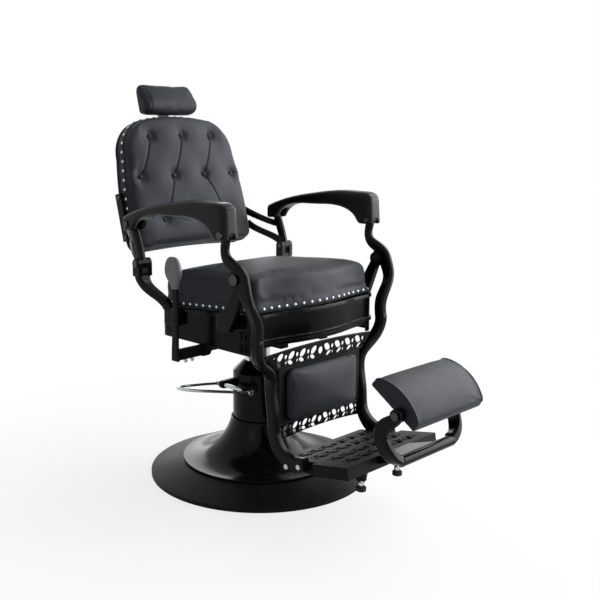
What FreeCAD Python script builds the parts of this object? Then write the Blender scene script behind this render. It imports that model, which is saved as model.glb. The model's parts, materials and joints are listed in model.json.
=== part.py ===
import FreeCAD, Part
import math
import os
from FreeCAD import Vector as V

os.makedirs("parts", exist_ok=True)

# Frame: origin on the floor under the column axis, +Z up, the sitter faces -Y, left is +X.

# Clearances
RUN = 0.05            # running fit between a pin and its bore
GAP = 0.3             # between curved faces that lie against each other
SIDE = 0.5            # between flat faces that turn past each other
FACE = 0.2            # a boss stands this far proud of the limb it is cast on

# Base and column
BASE_R = 340
BASE_PLATE_T = 8
RIM_H = 12
SHEET = 4
DOME_Z = 46
BELL_R = 240
NECK_Z = 176
COLUMN_R = 83
NECK_R = COLUMN_R + SHEET + 3
SHOULDER_Z = 322
COLUMN_TOP_R = 46
COLUMN_TOP_Z = 358
CYLINDER_R = COLUMN_R - 22
SOCKET_T = 9
SOCKET_Z = 150
PISTON_R = CYLINDER_R - 17
RAM_R = PISTON_R - 12
GLAND_Z = 300

# Foot lever
LEVER_ROD_R = 4.5
LEVER_AXIS_X = -(COLUMN_R + 25)
LEVER_AXIS_Z = 285
LEVER_HALF = 70
LEVER_L = 214
LEVER_RISE = 42
LEVER_PIN_R = 6

# Seat
SEAT_TILT = 4
SEAT_Z = 546
SEAT_HALF = 254
SEAT_FRONT = -268
SEAT_REAR = 172
FRONT_BOW_X = 120
FRONT_BOW_R = 521
CORNER_R = 30
REAR_CORNER_R = 36
APRON_Z = SEAT_Z - 98
APRON_FRONT_Z = SEAT_Z - 76
APRON_T = 5
BEAD = 5
BORDER_H = 24
SEAT_CUSHION_H = 98
SPIDER_Z = SEAT_Z - 116
SPIDER_RAIL_X = 85
SPIDER_RAIL_W = 30
NAIL_R = 5.5
NAIL_PITCH = 29

# Linkage: the arm pins sit at one offset from both seat pivots, so the arms stay level
BACK_AXIS = (189, SEAT_Z + 121)
KNEE_AXIS = (-225, SEAT_Z + 121)
LINK = (38, 115)
SIDE_X = SEAT_HALF + 47
ARM_W = 56
ARM_HOLD = 26
EYE_W = 20
EYE_R = 15
PIN_R = 7
KNEE_EYE_R = 25
KNEE_PIN_R = 9
POST_T = 20

# Back, drawn upright with its front bottom edge at the origin, then leaned
BACK_LEAN = 15
BACK_AT = (272, SEAT_Z + 144)
BACK_H = 432
BACK_HALF = 241
BACK_SHOULDER = 223
BACK_PAD_T = 24
BACK_CROWN = 14
BACK_BORDER_T = 34
BACK_BOARD_T = 12
BUTTON_R = 9
BUTTON_ROWS = ((92, 3, 125), (231, 4, 125), (361, 3, 125))

# Headrest
HEAD_HALF = 109
HEAD_H = 109
HEAD_T = 66
HEAD_GAP = 6
HEAD_BAR_W = 42
HEAD_BAR_T = 8
HEAD_BAR_L = 330

# Recline lever
SHAFT_Y = 12
SHAFT_Z = SEAT_Z - 124
SHAFT_R = 9
HANGER_X = -(SEAT_HALF - 41)
HANGER_T = 18
LEVER_X = -(SIDE_X + 21)
GRIP_TOP = SEAT_Z + 158
GRIP_W = 64
GRIP_T = 20

# Leg frame
LEG_X = 190
LEG_T = 26
LEG_D = 33
LEG_Y = -240
SHIN = (SEAT_HALF + 9, -261)
FOOT_Y = -352
FOOT_Z = 161
PANEL_T = 5
CALF_HALF = LEG_X - 40
CALF_Z = (244, 402)
CALF_T = 34
LACE_HOLE = 11
PLATE_TILT = 11
PLATE_AT = (-262, 150)
PLATE_L = 264
PLATE_HALF = 195
PLATE_T = 8
SKIRT = 34
STOP_X = 80
STOP_Y = -476
STOP_Z = 92

# Yoke and flip pad
PAD_AXIS = (-651, 363)
PAD_SLOPE = 34.5
PAD_HALF = 150
PAD_BACK = 112
PAD_FRONT = 52
PAD_BOARD_T = 18
PAD_T = 38
PRONG_T = 18
YOKE_AT = (-628, 226)
YOKE_R = 15


def save(name, shape):
    shape.exportStep("parts/" + name + ".step")


def mirrored(shape):
    return shape.mirror(V(0, 0, 0), V(1, 0, 0))


def both_sides(name, shape):
    save(name + "_left", shape)
    save(name + "_right", mirrored(shape))


def grouped(name, shapes):
    """One node for the pieces of both sides."""
    save(name, Part.makeCompound(shapes + [mirrored(shape) for shape in shapes]))


def fuse(shapes):
    return shapes[0].fuse(shapes[1:]).removeSplitter()


def box(x0, x1, y0, y1, z0, z1):
    return Part.makeBox(x1 - x0, y1 - y0, z1 - z0, V(x0, y0, z0))


def rod_x(radius, x0, x1, at):
    return Part.makeCylinder(radius, x1 - x0, V(x0, at[0], at[1]), V(1, 0, 0))


def rod_y(radius, y0, y1, x, z):
    return Part.makeCylinder(radius, y1 - y0, V(x, y0, z), V(0, 1, 0))


def rod_z(radius, z0, z1, x=0, y=0):
    return Part.makeCylinder(radius, z1 - z0, V(x, y, z0))


def ring_z(outer, inner, z0, z1):
    return rod_z(outer, z0, z1).cut(rod_z(inner, z0, z1))


def arc(a, b, c):
    return Part.Arc(a, b, c).toShape()


def chain(edges):
    return Part.Wire(Part.__sortEdges__(edges))


def turned(edges):
    return Part.Face(chain(edges)).revolve(V(0, 0, 0), V(0, 0, 1), 360)


def spline(points, closed=False):
    curve = Part.BSplineCurve()
    curve.interpolate(points, PeriodicFlag=closed)
    return curve.toShape()


def side_plate(points, x0, x1):
    """Flat plate with a (y, z) outline of straight lines."""
    corners = [V(x0, y, z) for y, z in points]
    return Part.Face(Part.makePolygon(corners + corners[:1])).extrude(V(x1 - x0, 0, 0))


def section(centre, along, width, depth, corner):
    """Rounded rectangle across a limb: width runs along X as far as the limb allows."""
    along = V(along).normalize()
    across = V(1, 0, 0) - along * along.x
    across.normalize()
    deep = along.cross(across)
    a = width / 2
    b = depth / 2
    k = corner * (1 - math.sqrt(0.5))

    def at(u, v):
        return centre + across * u + deep * v

    edges = []
    for s, t, flip in ((1, 1, False), (-1, 1, True), (-1, -1, False), (1, -1, True)):
        ends = [at(s * a, t * (b - corner)), at(s * (a - corner), t * b)]
        if flip:
            ends.reverse()
        edges.append(arc(ends[0], at(s * (a - k), t * (b - k)), ends[1]))
    sides = []
    for first, second in zip(edges, edges[1:] + edges[:1]):
        sides.append(first)
        sides.append(Part.makeLine(first.lastVertex().Point, second.firstVertex().Point))
    return Part.Wire(sides)


def limb(stations, corner=8):
    """Cast limb through (point, width, depth) stations."""
    points = [V(*s[0]) for s in stations]
    wires = []
    for i, (_, width, depth) in enumerate(stations):
        along = points[min(i + 1, len(points) - 1)] - points[max(i - 1, 0)]
        wires.append(section(points[i], along, width, depth, min(corner, width / 2.3, depth / 2.3)))
    return Part.makeLoft(wires, True, False)


def scaled(wire, factor, centre, lift):
    copy = wire.copy()
    copy.scale(factor, centre)
    copy.translate(lift)
    return copy


def cushion(wire, centre, out, height, crown):
    """Padded form on an outline: drawn in at the seam, full at half height, crowned on top."""
    full = height - crown
    edge = 0.93
    layers = ((0.965, GAP / 3), (0.98, 0.15 * full), (0.99, 0.4 * full), (0.988, 0.65 * full),
              (0.974, 0.86 * full))
    tops = [(t, full + crown * (1 - (t / edge) ** 2)) for t in (edge, 0.82, 0.68, 0.52, 0.34, 0.15)]
    layers += tuple(tops)
    return Part.makeLoft([scaled(wire, f, centre, out * h) for f, h in layers], True, True)


def nail(at, out, radius=NAIL_R):
    """Domed nail head standing on a surface."""
    ball = Part.makeSphere(radius, V(0, 0, -0.45 * radius))
    head = ball.common(box(-radius, radius, -radius, radius, 0, radius))
    head.Placement = FreeCAD.Placement(at, FreeCAD.Rotation(V(0, 0, 1), out))
    return head


def nail_row(wire, lift, skip, pitch=NAIL_PITCH):
    """Nails round the wall that stands on a flat outline, clear of the places that skip names."""
    count = int(wire.Length / pitch)
    centre = wire.BoundBox.Center
    normal = V(lift).normalize()
    heads = []
    for edge in wire.OrderedEdges:
        steps = max(1, round(edge.Length / wire.Length * count))
        for i in range(steps):
            mark = edge.FirstParameter + (edge.LastParameter - edge.FirstParameter) * (i + 0.5) / steps
            at = edge.valueAt(mark)
            out = edge.tangentAt(mark).cross(normal).normalize()
            if out.dot(at - centre) < 0:
                out = out * -1
            if not skip(at):
                heads.append(nail(at + lift + out * (GAP / 3), out))
    return heads


def lean_seat(shape):
    shape.rotate(V(0, 0, SEAT_Z), V(1, 0, 0), -SEAT_TILT)
    return shape


def lean_back(shape):
    shape.rotate(V(0, 0, 0), V(1, 0, 0), -BACK_LEAN)
    shape.translate(V(0, *BACK_AT))
    return shape


ARM_REAR = (BACK_AXIS[0] + LINK[0], BACK_AXIS[1] + LINK[1])
ARM_FRONT = (KNEE_AXIS[0] + LINK[0], KNEE_AXIS[1] + LINK[1])


def base():
    save("base_plate", rod_z(BASE_R - SHEET - GAP, 0, BASE_PLATE_T))
    socket_r = CYLINDER_R + RUN + SOCKET_T
    inner = socket_r + 3
    rim = BASE_R - SHEET
    foot = BELL_R + 6
    points = [(inner, DOME_Z), (foot, DOME_Z), (BASE_R, RIM_H), (BASE_R, 1), (rim, 1),
              (rim, RIM_H - 3), (foot - 3, DOME_Z - SHEET), (inner, DOME_Z - SHEET)]
    corners = [V(r, 0, z) for r, z in points]
    save("base_dome", turned(Part.makePolygon(corners + corners[:1]).Edges))
    lip = 7
    waist = (0.36 * BELL_R + 0.64 * NECK_R, DOME_Z + 0.3 * (NECK_Z - DOME_Z))
    top = NECK_Z - 6
    out = [V(BELL_R, 0, DOME_Z), V(BELL_R, 0, DOME_Z + lip), V(waist[0], 0, waist[1]), V(NECK_R, 0, top),
           V(NECK_R, 0, NECK_Z)]
    into = [V(BELL_R - SHEET, 0, DOME_Z), V(BELL_R - SHEET, 0, DOME_Z + lip - SHEET / 2),
            V(waist[0] - SHEET, 0, waist[1] - SHEET), V(NECK_R - SHEET, 0, top),
            V(NECK_R - SHEET, 0, NECK_Z)]
    edges = [Part.makeLine(out[0], into[0]), Part.makeLine(out[4], into[4])]
    for side in (out, into):
        edges += [Part.makeLine(side[0], side[1]), arc(side[1], side[2], side[3])]
        edges.append(Part.makeLine(side[3], side[4]))
    save("bell_cover", turned(edges))
    save("pump_socket", ring_z(socket_r, CYLINDER_R + RUN, BASE_PLATE_T, SOCKET_Z))
    save("thrust_washer", ring_z(CYLINDER_R - 1, RAM_R, BASE_PLATE_T, BASE_PLATE_T + 5))


def column():
    foot = BASE_PLATE_T + 5
    barrel = rod_z(CYLINDER_R, foot, GLAND_Z).cut(rod_z(PISTON_R + RUN, foot + 14, GLAND_Z))
    save("pump_cylinder", barrel)
    inner = COLUMN_R - 3
    flange = ring_z(inner - GAP, RAM_R + RUN, GLAND_Z, GLAND_Z + 10)
    gland = ring_z(RAM_R + 12, RAM_R + RUN, GLAND_Z + 10, COLUMN_TOP_Z - 6)
    save("ram_gland", fuse([flange, gland]))
    points = [(COLUMN_R, SOCKET_Z + 6), (COLUMN_R, SHOULDER_Z), (COLUMN_TOP_R + 2, COLUMN_TOP_Z),
              (RAM_R + 2, COLUMN_TOP_Z), (RAM_R + 2, COLUMN_TOP_Z - 4), (COLUMN_TOP_R, COLUMN_TOP_Z - 4),
              (inner, SHOULDER_Z - 2), (inner, SOCKET_Z + 6)]
    corners = [V(r, 0, z) for r, z in points]
    save("column_shroud", turned(Part.makePolygon(corners + corners[:1]).Edges))
    ear = 12
    reach = LEVER_AXIS_X
    ears = []
    for side in (-1, 1):
        mid = side * (LEVER_HALF - 14 - ear / 2)
        low, high = LEVER_AXIS_Z - 12, LEVER_AXIS_Z + 12
        block = box(reach, -0.55 * COLUMN_R, mid - ear / 2, mid + ear / 2, low, high)
        nose = rod_y(12, mid - ear / 2, mid + ear / 2, reach, LEVER_AXIS_Z)
        ears.append(fuse([block, nose]))
    bore = rod_y(LEVER_PIN_R + RUN, -COLUMN_R, COLUMN_R, reach, LEVER_AXIS_Z)
    skin = rod_z(COLUMN_R + GAP, SOCKET_Z, SHOULDER_Z)
    save("lever_bracket", Part.makeCompound([e.cut([bore, skin]) for e in ears]))


def foot_lever():
    eye = 14
    marks = ((0, 1), (0.35, 0.8), (0.7, 0.55), (0.93, 0.28))
    near = [V(LEVER_AXIS_X - t * LEVER_L, -w * LEVER_HALF, LEVER_AXIS_Z + t * LEVER_RISE) for t, w in marks]
    far = [V(point.x, -point.y, point.z) for point in reversed(near)]
    tip = V(LEVER_AXIS_X - LEVER_L, 0, LEVER_AXIS_Z + LEVER_RISE)
    path = Part.Wire(spline(near + [tip] + far))
    start = path.Edges[0].tangentAt(path.Edges[0].FirstParameter)
    loop = path.makePipeShell([Part.Wire(Part.makeCircle(LEVER_ROD_R, near[0], start))], True, False)
    parts = [loop, rod_y(LEVER_PIN_R, -LEVER_HALF, LEVER_HALF, LEVER_AXIS_X, LEVER_AXIS_Z)]
    for y in (-LEVER_HALF, LEVER_HALF):
        parts.append(rod_y(LEVER_ROD_R + 4, y - eye / 2, y + eye / 2, LEVER_AXIS_X, LEVER_AXIS_Z))
    save("foot_lever", fuse(parts))


def seat_outline(grow=0.0):
    """Plan of the seat: bowed front, concave shoulders, round corners."""
    half = SEAT_HALF + grow
    rear = SEAT_REAR + grow
    front = SEAT_FRONT - grow
    bow = FRONT_BOW_R + grow
    corner = CORNER_R + grow
    rear_corner = REAR_CORNER_R + grow
    angle = math.asin(FRONT_BOW_X / FRONT_BOW_R)
    bow_y = front + bow

    def bow_at(a):
        return V(bow * math.sin(a), bow_y - bow * math.cos(a), SEAT_Z)

    joint = bow_at(angle)
    run = half - corner - joint.x
    hollow = run / math.sin(angle)
    flat = V(half - corner, joint.y + hollow * (1 - math.cos(angle)), SEAT_Z)
    middle = V(flat.x - hollow * math.sin(angle / 2), flat.y - hollow * (1 - math.cos(angle / 2)), SEAT_Z)
    k = math.sqrt(0.5)

    def turn(point):
        return V(-point.x, point.y, SEAT_Z)

    corner_mid = V(half - corner + corner * k, flat.y + corner * (1 - k), SEAT_Z)
    side_a = V(half, flat.y + corner, SEAT_Z)
    side_b = V(half, rear - rear_corner, SEAT_Z)
    rear_mid = V(half - rear_corner + rear_corner * k, rear - rear_corner + rear_corner * k, SEAT_Z)
    rear_end = V(half - rear_corner, rear, SEAT_Z)
    edges = [arc(turn(joint), V(0, front, SEAT_Z), joint), arc(joint, middle, flat),
             arc(flat, corner_mid, side_a), Part.makeLine(side_a, side_b),
             arc(side_b, rear_mid, rear_end), Part.makeLine(rear_end, turn(rear_end)),
             arc(turn(rear_end), turn(rear_mid), turn(side_b)), Part.makeLine(turn(side_b), turn(side_a)),
             arc(turn(side_a), turn(corner_mid), turn(flat)), arc(turn(flat), turn(middle), turn(joint))]
    return Part.Wire(edges)


def wall(outer, inner, z0, z1):
    """Upright band between two seat outlines."""
    solids = []
    for grow in (outer, inner):
        face = Part.Face(seat_outline(grow))
        face.translate(V(0, 0, z0 - SEAT_Z))
        solids.append(face.extrude(V(0, 0, z1 - z0)))
    return solids[0].cut(solids[1])


def seat():
    rod = rod_z(RAM_R, 80, SPIDER_Z)
    piston = rod_z(PISTON_R, BASE_PLATE_T + 25, 80)
    save("ram", fuse([rod, piston]))
    inside = SEAT_HALF - APRON_T
    bars = [rod_z(92, SPIDER_Z, SPIDER_Z + 10)]
    for side in (-1, 1):
        x = side * SPIDER_RAIL_X
        half = SPIDER_RAIL_W / 2
        bars.append(box(x - half, x + half, -190, 140, SPIDER_Z + 8, SPIDER_Z + 36))
    for y in (-130, 95):
        bars.append(box(-inside, inside, y - 16, y + 16, SPIDER_Z + 18, SPIDER_Z + 36))
    save("seat_spider", fuse(bars))

    top = SEAT_Z + 40
    band = wall(0, -APRON_T, APRON_Z, top)
    beads = wall(BEAD, -1, APRON_FRONT_Z + 12, APRON_FRONT_Z + 22)
    beads = beads.common(box(-SEAT_HALF - 9, SEAT_HALF + 9, SEAT_FRONT - 9, -180, APRON_Z, top))
    ribs = []
    for side in (-1, 1):
        for y in (-205, -188):
            ribs.append(rod_z(7, APRON_Z + 6, SEAT_Z - 34, side * SEAT_HALF, y))
    shell = fuse([band, beads] + ribs)
    inner = Part.Face(seat_outline(-APRON_T))
    inner.translate(V(0, 0, APRON_Z - SEAT_Z))
    shell = shell.cut(inner.extrude(V(0, 0, top - APRON_Z)))
    lid = lean_seat(box(-400, 400, -400, 400, SEAT_Z, SEAT_Z + 200))
    between = SEAT_HALF - CORNER_R - 5
    low_front = box(-between, between, SEAT_FRONT - 40, -150, APRON_Z - 1, APRON_FRONT_Z)
    shell = shell.cut([lid, low_front])
    lip = Part.Face(seat_outline(BEAD)).extrude(V(0, 0, -9))
    lip = lip.cut(Part.Face(seat_outline(-APRON_T / 2)).extrude(V(0, 0, -9)))
    shell = fuse([shell, lean_seat(lip)])
    save("apron", shell)

    rim = seat_outline(-7)
    save("seat_border", lean_seat(Part.Face(rim).extrude(V(0, 0, BORDER_H))))
    nails = nail_row(rim, V(0, 0, 0.55 * BORDER_H), lambda at: at.y > SEAT_REAR - 20)
    save("seat_nails", lean_seat(Part.makeCompound(nails)))
    middle = V(0, (SEAT_FRONT + SEAT_REAR) / 2, SEAT_Z)
    pad = cushion(seat_outline(-4), middle, V(0, 0, 1), SEAT_CUSHION_H, 22)
    pad.translate(V(0, 0, BORDER_H))
    save("seat_cushion", lean_seat(pad))


def seat_arms():
    y, z = KNEE_AXIS
    inner = SEAT_HALF + BEAD + 3
    face = SIDE_X - POST_T / 2 - SIDE
    web = face - 18
    eye = rod_x(KNEE_PIN_R + 8, web, face, KNEE_AXIS)
    arm = side_plate([(y - 13, z - 9), (y + 14, z - 9), (y + 58, z - 86), (y + 98, z - 108),
                      (y + 98, z - 153), (y + 48, z - 153), (y + 24, z - 108)], web, face)
    foot = box(SEAT_HALF, face, y + 52, y + 94, z - 149, z - 112)
    bead = lean_seat(box(0, inner - 2, -300, 300, SEAT_Z - 10, SEAT_Z + 60))
    bore = rod_x(KNEE_PIN_R + RUN, 0, 400, KNEE_AXIS)
    both_sides("knee_bracket", fuse([eye, arm, foot]).cut([bore, bead]))
    outer = SIDE_X + POST_T / 2 + SIDE
    head = rod_x(KNEE_PIN_R + 6, outer, outer + 6, KNEE_AXIS)
    pin = fuse([rod_x(KNEE_PIN_R, web, outer, KNEE_AXIS), head])
    grouped("knee_pins", [pin])

    y, z = BACK_AXIS
    ear = 14
    ears = []
    for side in (-1, 1):
        near = SIDE_X + side * (EYE_W / 2 + SIDE)
        far = near + side * ear
        x0, x1 = min(near, far), max(near, far)
        ears.append(rod_x(EYE_R, x0, x1, BACK_AXIS))
        ears.append(box(x0, x1, y - EYE_R, y + EYE_R, z - 38, z))
    neck = limb([((SIDE_X, y, z - 28), 48, 26), ((SIDE_X, y - 2, z - 44), 44, 26),
                 ((SIDE_X - 4, y - 14, z - 66), 36, 26),
                 ((SIDE_X - 14, y - 42, z - 88), 30, 26), ((SIDE_X - 26, y - 70, z - 110), 26, 28),
                 ((SIDE_X - 33, y - 88, z - 140), 20, 34)])
    flange = box(SEAT_HALF, SIDE_X - 24, y - 122, y - 70, z - 176, z - 124)
    gate = rod_x(EYE_R + 12, SIDE_X - EYE_W / 2 - SIDE, SIDE_X + EYE_W / 2 + SIDE, BACK_AXIS)
    support = fuse(ears + [neck, flange]).cut([gate, bead, rod_x(PIN_R + RUN, 0, 400, BACK_AXIS)])
    both_sides("back_support", support)
    reach = EYE_W / 2 + SIDE + ear
    pin = fuse([rod_x(PIN_R, SIDE_X - reach, SIDE_X + reach, BACK_AXIS),
                rod_x(PIN_R + 4, SIDE_X + reach, SIDE_X + reach + 4, BACK_AXIS)])
    grouped("back_pins", [pin])

    x0 = HANGER_X - HANGER_T / 2
    x1 = HANGER_X + HANGER_T / 2
    shaft = (SHAFT_Y, SHAFT_Z)
    rail = -(SPIDER_RAIL_X + SPIDER_RAIL_W / 2)
    hanger = box(x0, x1, SHAFT_Y - 26, SHAFT_Y + 26, SHAFT_Z + 14, SPIDER_Z + 27)
    drop = rod_x(20, x0, x1, shaft)
    tie = box(x0, rail, SHAFT_Y - 26, SHAFT_Y + 26, SPIDER_Z + 21, SPIDER_Z + 27)
    save("shaft_hanger", fuse([hanger, drop, tie]).cut(rod_x(SHAFT_R + RUN, x0 - 1, x1 + 1, shaft)))


def recline_lever():
    at = (SHAFT_Y, SHAFT_Z)
    inner = HANGER_X + HANGER_T / 2 + SIDE
    outer = HANGER_X - HANGER_T / 2 - SIDE
    end = outer - 28
    shaft = rod_x(SHAFT_R, end, inner + 50, at)
    cap = rod_x(SHAFT_R + 5, inner, inner + 6, at)
    save("lever_shaft", fuse([shaft, cap]))
    arm = box(LEVER_X - 5, outer, SHAFT_Y - 8, SHAFT_Y + 8, SHAFT_Z - 15, SHAFT_Z + 15)
    stem = limb([((LEVER_X, SHAFT_Y, SHAFT_Z - 16), 10, 30), ((LEVER_X, SHAFT_Y, SHAFT_Z + 40), 10, 25),
                 ((LEVER_X, SHAFT_Y - 4, SHAFT_Z + 110), 10, 22),
                 ((LEVER_X, SHAFT_Y - 2, GRIP_TOP - 90), 11, 24)], 4)
    grip = limb([((LEVER_X, SHAFT_Y - 2, GRIP_TOP - 89.7), 12, 26),
                 ((LEVER_X, SHAFT_Y, GRIP_TOP - 70), 15, 38),
                 ((LEVER_X, SHAFT_Y + 4, GRIP_TOP - 42), GRIP_T, GRIP_W),
                 ((LEVER_X, SHAFT_Y + 6, GRIP_TOP - 26), 0.95 * GRIP_T, 0.95 * GRIP_W),
                 ((LEVER_X, SHAFT_Y + 7, GRIP_TOP - 13), 0.86 * GRIP_T, 0.8 * GRIP_W),
                 ((LEVER_X, SHAFT_Y + 8, GRIP_TOP - 4), 0.66 * GRIP_T, 0.56 * GRIP_W),
                 ((LEVER_X, SHAFT_Y + 8, GRIP_TOP), 0.4 * GRIP_T, 0.3 * GRIP_W)])
    save("lever_grip", grip)
    bore = rod_x(SHAFT_R + RUN, end - 1, outer + 1, at)
    save("lever_bar", fuse([arm, stem]).cut([bore, grip]))
    screws = []
    for x in (LEVER_X + 36, LEVER_X + 60):
        stem = rod_z(4, SHAFT_Z - 27, SHAFT_Z - 15, x, SHAFT_Y)
        screws.append(fuse([stem, rod_z(6, SHAFT_Z - 23, SHAFT_Z - 19, x, SHAFT_Y)]))
    save("lever_screws", Part.makeCompound(screws))


def back_outline(depth):
    """Front view of the back: round bottom corners, sides that close in, arched top."""
    low = 34
    half = BACK_HALF
    shoulder = BACK_SHOULDER
    high = BACK_H - 130
    k = math.sqrt(0.5)

    def at(x, z):
        return V(x, depth, z)

    edges = [arc(at(-half + low, 0), at(0, 7), at(half - low, 0)),
             arc(at(half - low, 0), at(half - low + low * k, low - low * k), at(half, low))]
    right = [(half, low), (half - 1, 0.5 * high), (shoulder, high), (0.64 * shoulder, BACK_H - 14),
             (0, BACK_H)]
    bend = (0.92 * shoulder, high + 66)
    edges.append(arc(at(*right[0]), at(*right[1]), at(*right[2])))
    edges.append(arc(at(*right[2]), at(*bend), at(*right[3])))
    edges.append(arc(at(*right[3]), at(0, BACK_H), at(-right[3][0], right[3][1])))
    edges.append(arc(at(-right[3][0], right[3][1]), at(-bend[0], bend[1]), at(-shoulder, high)))
    edges.append(arc(at(-shoulder, high), at(-right[1][0], right[1][1]), at(-half, low)))
    edges.append(arc(at(-half, low), at(-half + low - low * k, low - low * k), at(-half + low, 0)))
    return Part.Wire(edges)


def button_places():
    places = []
    for z, count, pitch in BUTTON_ROWS:
        for i in range(count):
            places.append((pitch * (i - (count - 1) / 2), z))
    return places


def back():
    front = BACK_PAD_T
    rear = front + BACK_BORDER_T
    rim = back_outline(front)
    save("back_border", lean_back(Part.Face(rim).extrude(V(0, BACK_BORDER_T, 0))))
    panel = scaled(back_outline(rear), 0.985, V(0, rear, 0.45 * BACK_H), V(0, 0, 0))
    save("back_board", lean_back(Part.Face(panel).extrude(V(0, BACK_BOARD_T, 0))))
    bar_z = (40, 190)

    def skip(at):
        return at.z < 12 or (abs(at.x) > BACK_HALF - 12 and at.z < bar_z[0])

    wire = back_outline(front)
    middle = V(0, front, 0.48 * BACK_H)
    pad = cushion(wire, middle, V(0, -1, 0), BACK_PAD_T + BACK_CROWN, BACK_CROWN)
    dimples = []
    buttons = []
    ball = 34
    depth = 15
    for x, z in button_places():
        face = -BACK_CROWN * max(0, 1 - (x / BACK_HALF) ** 2 - ((z - middle.z) / middle.z) ** 2)
        dimples.append(Part.makeSphere(ball, V(x, face - ball + depth, z)))
        buttons.append(nail(V(x, face + depth - 1.6, z), V(0, -1, 0), BUTTON_R))
    save("back_cushion", lean_back(pad.cut(dimples)))
    save("back_buttons", lean_back(Part.makeCompound(buttons)))

    plate_x = rim.BoundBox.XMax + GAP
    bar = box(plate_x, plate_x + 10, front + 18, rear + BACK_BOARD_T, *bar_z)
    bar = lean_back(bar)
    screws = []
    for z in (bar_z[0] + 12, bar_z[1] - 12):
        head = rod_x(7, plate_x + 10, plate_x + 14, (rear - 6, z))
        screws.append(lean_back(head))
    grouped("bracket_screws", screws)
    y, z = BACK_AXIS
    cy, cz = ARM_REAR
    eye_x = (SIDE_X - EYE_W / 2, SIDE_X + EYE_W / 2)
    post = limb([((SIDE_X, y, z), EYE_W, 26), ((SIDE_X, y + 9, z + 34), EYE_W, 27),
                 ((SIDE_X, y + 24, z + 74), EYE_W, 28),
                 ((SIDE_X, cy, cz), EYE_W, 26)])
    stay_x = plate_x + 6
    upper = limb([((SIDE_X, y + 24, z + 72), EYE_W, 22), ((SIDE_X - 8, y + 58, z + 78), 18, 20),
                  ((SIDE_X - 34, y + 108, z + 98), 14, 22), ((stay_x, y + 146, z + 116), 11, 26)], 6)
    lower = limb([((SIDE_X, y, z), EYE_W, 24), ((SIDE_X - 4, y + 34, z + 22), 18, 22),
                  ((SIDE_X - 30, y + 86, z + 46), 14, 22), ((stay_x, y + 126, z + 72), 11, 26)], 6)
    eyes = [rod_x(EYE_R, *eye_x, BACK_AXIS), rod_x(EYE_R, *eye_x, ARM_REAR)]
    bores = [rod_x(PIN_R + RUN, 200, 400, BACK_AXIS), rod_x(PIN_R + RUN, 200, 400, ARM_REAR)]
    inside = lean_back(box(0, plate_x, -50, 200, -50, 500))
    bracket = fuse([post, upper, lower, bar] + eyes).cut(bores + [inside])
    both_sides("back_bracket", bracket)
    other = mirrored(bracket)
    nails = [lean_back(head) for head in nail_row(rim, V(0, 0.35 * BACK_BORDER_T, 0), skip)]
    clear = [head for head in nails if min(head.distToShape(side)[0] for side in (bracket, other)) > GAP]
    save("back_nails", Part.makeCompound(clear))

    slot = rear + BACK_BOARD_T + 4
    bar_w = HEAD_BAR_W + 2 * GAP
    bar_t = HEAD_BAR_T + 2 * GAP
    case = box(-bar_w / 2 - 8, bar_w / 2 + 8, rear + BACK_BOARD_T, slot + bar_t + 6, 190, 330)
    hollow = box(-bar_w / 2, bar_w / 2, slot - GAP, slot + HEAD_BAR_T + GAP, 180, 340)
    thread = rod_y(6, slot, slot + 40, 0, 260)
    save("headrest_socket", lean_back(case.cut([hollow, thread])))
    stem = rod_y(6 - RUN, slot + HEAD_BAR_T + GAP, slot + bar_t + 6, 0, 260)
    knob = rod_y(19, slot + bar_t + 6 + GAP, slot + bar_t + 26, 0, 260)
    knob = knob.makeFillet(3, [e for e in knob.Edges if isinstance(e.Curve, Part.Circle)])
    neck = rod_y(6 - RUN, slot + bar_t + 6, slot + bar_t + 8, 0, 260)
    save("headrest_knob", lean_back(fuse([stem, neck, knob])))


def headrest():
    bottom = BACK_H + HEAD_GAP
    slot = BACK_PAD_T + BACK_BORDER_T + BACK_BOARD_T + 4
    board_y = slot + HEAD_BAR_T
    top = bottom + 60
    bar = box(-HEAD_BAR_W / 2, HEAD_BAR_W / 2, slot, board_y, top - HEAD_BAR_L, top)
    save("headrest_bar", lean_back(bar))
    front = slot - HEAD_T
    marks = [(slot, bottom + 8), (front + 44, bottom), (front + 12, bottom + 6), (front, bottom + 24),
             (front + 6, bottom + 50), (front + 16, bottom + 74), (front + 36, bottom + HEAD_H - 1),
             (slot - 14, bottom + HEAD_H - 1), (slot, bottom + HEAD_H - 22),
             (slot + 1, bottom + 0.5 * HEAD_H)]
    marks = [V(0, y, z) for y, z in marks + marks[:1]]
    curve = Part.Wire([arc(*marks[i:i + 3]) for i in range(0, 10, 2)])
    centre = V(0, slot - 0.45 * HEAD_T, bottom + 0.5 * HEAD_H)
    layers = [(-1.0, 0.66), (-0.98, 0.82), (-0.93, 0.92), (-0.8, 0.98), (0.0, 1.0), (0.8, 0.98),
              (0.93, 0.92), (0.98, 0.82), (1.0, 0.66)]
    sections = [scaled(curve, f, centre, V(x * HEAD_HALF, 0, 0)) for x, f in layers]
    roll = Part.makeLoft(sections, True, True)
    seat_cut = box(-HEAD_BAR_W, HEAD_BAR_W, slot, slot + 40, bottom - 20, bottom + HEAD_H + 20)
    save("headrest_pad", lean_back(roll.cut(seat_cut)))


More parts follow.
